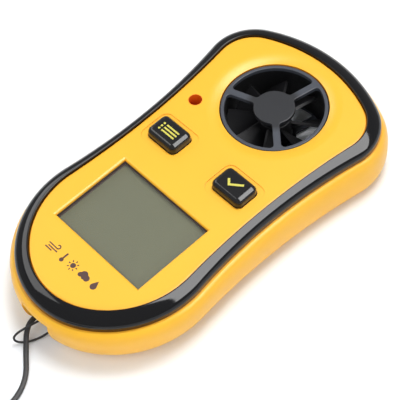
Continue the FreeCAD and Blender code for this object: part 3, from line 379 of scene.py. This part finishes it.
def width_inwards(point, way, ring):
    """Distance from a point, against its outward direction, to a closed polyline."""
    best = None
    for (start, _), (end, _) in zip(ring, ring[1:] + ring[:1]):
        side, step = start - point, end - start
        across = way.x * step.y - way.y * step.x
        if abs(across) < 1e-9:
            continue
        reach = -(side.x * step.y - side.y * step.x) / across
        part = -(way.x * side.y - way.y * side.x) / across
        if 0 <= part <= 1 and 0 < reach < WIDEST_BEAD and (best is None or reach < best):
            best = reach
    return best


def bead_profile(low, high):
    """Cross-section of the bead: share of its width from the face outwards, and height."""
    crest, lean, tall, count = high - 0.05, 0.15, 2.75, 26
    foot, innermost, outermost = low + 0.02, 0.004, 0.998
    first_turn, sweep = 10.5, 79        # degrees round the section's ellipse
    section = [(innermost, foot), (innermost, crest - 0.55), (0.012, crest - 0.3),
               (0.03, crest - 0.13)]
    for step in range(count + 1):
        turn = math.radians(first_turn + sweep * step / count)
        share = math.sin(turn) * (1 + lean) - lean
        section.append((min(share, outermost), crest - tall * (1 - math.cos(turn))))
    section.append((outermost, foot))
    return section


def add_bead():
    """Smooth one-piece trim bead between the face plate and the wall of the case."""
    low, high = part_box("trim_ring")
    section = bead_profile(low.z / MM, high.z / MM)
    inner = outline_stations(FACE_OUTLINE, 0.5)
    stations = outline_stations(CASE_OUTLINE, 0.6)
    shape = bmesh.new()
    rows = []
    for point, way in stations:
        width = width_inwards(point, way, inner)
        row = []
        for share, height in section:
            place = (point - way * width * (1 - share)) * MM
            row.append(shape.verts.new((place.x, place.y, height * MM)))
        rows.append(row)
    for row, after in zip(rows, rows[1:] + rows[:1]):
        for i in range(len(row)):
            j = (i + 1) % len(row)
            shape.faces.new((row[i], row[j], after[j], after[i]))
    bmesh.ops.recalc_face_normals(shape, faces=shape.faces)
    for face in shape.faces:
        face.smooth = True
    mesh = bpy.data.meshes.new("trim_bead")
    shape.to_mesh(mesh)
    shape.free()
    mesh.materials.append(materials["trim_black"])
    bead = bpy.data.objects.new("trim_bead", mesh)
    bpy.context.scene.collection.objects.link(bead)
    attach(bead, "case")
    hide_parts("trim_ring")


# ---- lanyard ---------------------------------------------------------------------------------

# Control points in millimetres, each cord starting where it leaves the notch.
CORD_ROUTE = [(-3.2, -51.4, 4.9), (-3.4, -54.3, 5.1), (-2.4, -57.0, 3.7), (-0.5, -59.1, 1.9),
              (1.9, -61.3, 0.85), (4.9, -63.6, 0.7), (7.3, -66.6, 0.7), (8.8, -70.6, 0.7),
              (9.3, -75.6, 0.7), (9.75, -81.4, 0.7)]
LOOP_ROUTE = [(0.4, -47.9, 5.6), (-0.4, -49.6, 6.1), (-0.7, -52.7, 6.5), (-1.6, -56.2, 6.4),
              (-3.0, -59.4, 5.1), (-3.8, -60.6, 2.5), (-2.9, -59.8, 0.6), (-0.9, -57.1, 0.5),
              (0.8, -53.8, 1.6), (1.6, -50.4, 3.1), (1.1, -48.4, 3.4), (0.4, -47.9, 4.2)]
CORD_WIDTH, LOOP_WIDTH = 1.4 * MM, 0.6 * MM


def curve(name, points, width, material):
    """A smooth round cord through a list of control points."""
    data = bpy.data.curves.new(name, "CURVE")
    data.dimensions = "3D"
    spline = data.splines.new("NURBS")
    spline.points.add(len(points) - 1)
    for knot, point in zip(spline.points, points):
        knot.co = (*point, 1)
    spline.order_u = 3
    spline.use_endpoint_u = True
    spline.resolution_u = 8
    data.bevel_depth = width / 2
    data.bevel_resolution = 5
    data.use_fill_caps = True
    data.materials.append(material)
    thing = bpy.data.objects.new(name, data)
    bpy.context.scene.collection.objects.link(thing)
    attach(thing, "case")
    return thing


def coil_points(low, high, width, start, mouth):
    """Turns that wind inwards on the ground and out again on top, then climb to the ferrule."""
    centre = (low + high) / 2
    outer = (high.x - low.x) / 2 - width / 2
    per_turn, turns_down, left_out, climb = 16, 3, 8, 5
    lift = 1 / math.cos(math.pi / per_turn)
    points = []
    steps = per_turn * turns_down
    last = 2 * steps - left_out
    for step in range(1, last):
        layer = 0 if step <= steps else 1
        inward = (step if layer == 0 else 2 * steps - step) / steps
        radius = (outer - inward * 2 * width) * lift
        angle = start + math.tau * step / per_turn
        rise = min(max((step - steps + 3) / 6, 0), 1)
        height = low.z + width / 2 + rise * width
        points.append(Vector((centre.x + radius * math.cos(angle),
                              centre.y + radius * math.sin(angle), height)))
    angle = start + math.tau * (last - 1) / per_turn
    landing = mouth + Vector((2.6 * MM, 0, 0))
    goal = math.atan2(landing.y - centre.y, landing.x - centre.x)
    sweep = (goal - angle) % math.tau
    reach = (landing - centre).to_2d().length
    radius = (points[-1] - centre).to_2d().length
    height = points[-1].z
    for step in range(1, climb + 1):
        part = step / climb
        here = angle + sweep * part
        away = radius + (reach - radius) * part
        points.append(Vector((centre.x + away * math.cos(here), centre.y + away * math.sin(here),
                              height + (mouth.z - height) * part)))
    return points


def add_lanyard():
    """The wrist cord with its put-away coil, and the thin loop."""
    low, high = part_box("lanyard_coil")
    route = [Vector(point) * MM for point in CORD_ROUTE]
    centre = (low + high) / 2
    last = route[-1]
    start = math.atan2(last.y - centre.y, last.x - centre.x)
    ferrule_low, ferrule_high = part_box("lanyard_ferrule")
    mouth = Vector((ferrule_high.x, (ferrule_low.y + ferrule_high.y) / 2,
                    (ferrule_low.z + ferrule_high.z) / 2))
    turns = coil_points(low, high, CORD_WIDTH, start, mouth)
    tail = [mouth + Vector((1.3, 0.1, 0)) * MM, mouth, mouth - Vector((2, 0, 0)) * MM]
    cord = curve("wrist_cord", route + turns + tail, CORD_WIDTH, materials["cord_black"])
    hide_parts("lanyard_cord", "lanyard_coil")
    loop_route = [Vector(point) * MM for point in LOOP_ROUTE]
    loop = curve("thin_loop", loop_route, LOOP_WIDTH, materials["cord_black"])
    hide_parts("lanyard_loop")


# ---- printed marks ---------------------------------------------------------------------------

def disc(across, along, radius, count=24):
    """Corners of a round mark."""
    turns = (math.tau * step / count for step in range(count))
    return [(across + radius * math.cos(turn), along + radius * math.sin(turn))
            for turn in turns]


def merged_discs(discs, middle, count=72):
    """Outline of overlapping discs, seen from a point inside all of the shape."""
    outline = []
    for step in range(count):
        turn = math.tau * step / count
        way = Vector((math.cos(turn), math.sin(turn)))
        reach = 0
        for across, along, radius in discs:
            away = Vector((across - middle[0], along - middle[1]))
            ahead = away.dot(way)
            gap = radius ** 2 - away.length_squared + ahead ** 2
            if gap > 0:
                reach = max(reach, ahead + math.sqrt(gap))
        outline.append((middle[0] + reach * way.x, middle[1] + reach * way.y))
    return outline


def strokes(points, width):
    """A bent stroke of even width, as a strip of four-sided faces."""
    left, right = [], []
    for index, point in enumerate(points):
        before, after = points[max(index - 1, 0)], points[min(index + 1, len(points) - 1)]
        along = Vector((after[0] - before[0], after[1] - before[1])).normalized()
        side = Vector((-along.y, along.x)) * width / 2
        left.append((point[0] + side.x, point[1] + side.y))
        right.append((point[0] - side.x, point[1] - side.y))
    return [[left[i], right[i], right[i + 1], left[i + 1]] for i in range(len(points) - 1)]


def arc(across, along, radius, start, stop, count=12):
    """Points along part of a circle, between two angles in degrees."""
    turns = (math.radians(start + (stop - start) * step / count) for step in range(count + 1))
    return [(across + radius * math.cos(turn), along + radius * math.sin(turn))
            for turn in turns]


def add_marks(name, outlines, middle, height, body, material, scale=MM):
    """Ink laid on a level surface; outlines are in millimetres about the middle."""
    mesh = bpy.data.meshes.new(name)
    shape = bmesh.new()
    for outline in outlines:
        corners = [shape.verts.new((middle[0] + x * scale, middle[1] + y * scale, height))
                   for x, y in outline]
        shape.faces.new(corners)
    bmesh.ops.recalc_face_normals(shape, faces=shape.faces)
    for face in shape.faces:
        if face.normal.z < 0:
            face.normal_flip()
    shape.to_mesh(mesh)
    shape.free()
    mesh.materials.append(material)
    thing = bpy.data.objects.new(name, mesh)
    bpy.context.scene.collection.objects.link(thing)
    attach(thing, body)


def sun(across):
    rays = []
    for step in range(8):
        turn = math.radians(45 * step)
        ends = [(across + reach * math.cos(turn), reach * math.sin(turn)) for reach in (0.85, 1.3)]
        rays += strokes(ends, 0.26)
    return [disc(across, 0, 0.62)] + rays


def cloud(across):
    lobes = [(across - 0.95, -0.30, 0.55), (across - 0.25, 0.20, 0.85),
             (across + 0.75, -0.10, 0.72), (across + 0.1, -0.40, 0.45)]
    return [merged_discs(lobes, (across, -0.1))]


def drop(across):
    outline = arc(across, -0.35, 0.75, 150, 390)
    return [outline + [(across, 1.25)]]


def wind(across):
    pieces = strokes([(across - 1.7, 0.35), (across + 0.8, 0.35)]
                     + arc(across + 0.8, 0.80, 0.45, -90, 150), 0.28)
    pieces += strokes([(across - 1.3, -0.25), (across + 1.5, -0.25)], 0.28)
    pieces += strokes([(across - 1.7, -0.8), (across + 0.3, -0.8)], 0.28)
    return pieces


def thermometer(across):
    return [merged_discs([(across, -0.75, 0.5)], (across, -0.75)),
            [(across - 0.22, -0.4), (across + 0.22, -0.4), (across + 0.22, 1.05),
             (across + 0.1, 1.2), (across - 0.1, 1.2), (across - 0.22, 1.05)]]


def add_prints():
    """Weather signs under the display, a menu sign and a tick on the keys."""
    brown = plain("print_brown", (0.045, 0.008, 0.004), 0.5)
    lime = plain("print_lime", (0.58, 0.53, 0.06), 0.45)
    signs = wind(-7.0) + thermometer(-3.5) + sun(-0.6) + cloud(3.0) + drop(6.2)
    add_marks("face_signs", signs, (0, -40.0 * MM), FACE_TOP + INK, "case", brown,
              1.2 * MM)
    bars = []
    for along in (-1, 0, 1):
        bars += strokes([(-1.7, along), (2.9, along)], 0.5)
        bars.append(disc(-2.6, along, 0.34, 12))
    tick = [[(-2.4, 0.2), (-0.8, -1.4), (2.5, 1.1), (2.1, 1.6), (-0.8, -0.55), (-1.9, 0.6)]]
    for name, body, outlines in (("mode_button", "mode_key", bars),
                                 ("set_button", "set_key", tick)):
        low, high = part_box(name)
        middle = (low + high) / 2
        add_marks(f"{body}_sign", outlines, (middle.x, middle.y), high.z + INK, body, lime)


materials = make_materials()
add_camera()
add_lanyard()
add_prints()
add_bead()
add_studio()
dress_nodes()

bpy.context.scene.view_settings.view_transform = "Standard"
